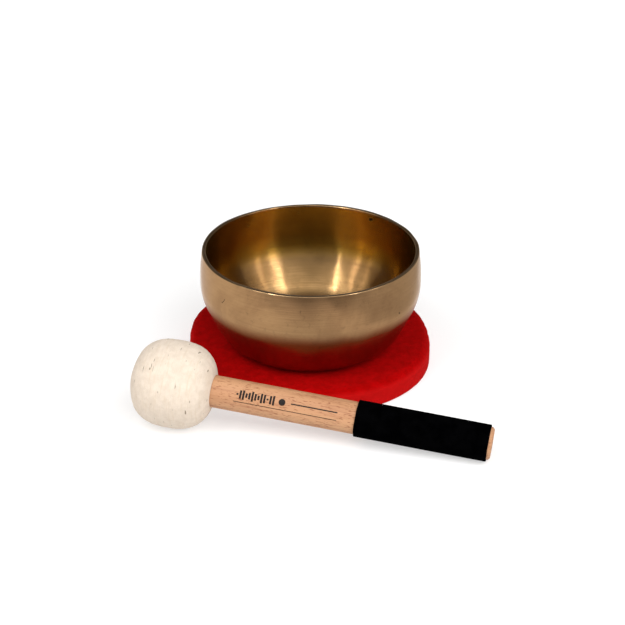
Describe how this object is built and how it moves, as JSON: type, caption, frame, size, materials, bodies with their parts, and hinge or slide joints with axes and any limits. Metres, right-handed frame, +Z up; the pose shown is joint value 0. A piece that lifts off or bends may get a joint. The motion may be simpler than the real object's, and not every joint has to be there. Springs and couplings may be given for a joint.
{
  "type": "singing bowl",
  "caption": "Hand-hammered bronze singing bowl standing on a round red felt pad, with a felt-headed wooden mallet lying in front.",
  "frame": {"origin": "centre of the felt pad's underside, on the table", "axes": "+Z up, -Y towards the side where the mallet lies, +X from the mallet's head towards its grip"},
  "size_m": [0.1998, 0.2013, 0.0726],
  "materials": {
    "pad_felt": "thick matte wool felt",
    "bronze": "satin bronze, hand-hammered and finely brushed",
    "beech": "sanded bare beech",
    "suede": "matte black suede",
    "core_rubber": "matte hard rubber",
    "padding_felt": "wound wool felt",
    "head_felt": "soft cream fleece felt",
    "thread": "waxed thread"
  },
  "bodies": {
    "pad": {"felt_pad": "pad_felt"},
    "bowl": {"bowl": "bronze"},
    "mallet": {"mallet_stick": "beech", "grip_wrap": "suede", "head_core": "core_rubber", "head_padding": "padding_felt", "head_cover": "head_felt", "neck_tie": "thread"}
  },
  "joints": [
    {"name": "bowl_lift", "type": "slide", "parent": "pad", "child": "bowl", "axis": [0, 0, 1], "range_m": [0, 0.1]},
    {"name": "mallet_lift", "type": "slide", "parent": "pad", "child": "mallet", "axis": [0, 0, 1], "range_m": [0, 0.1]}
  ]
}
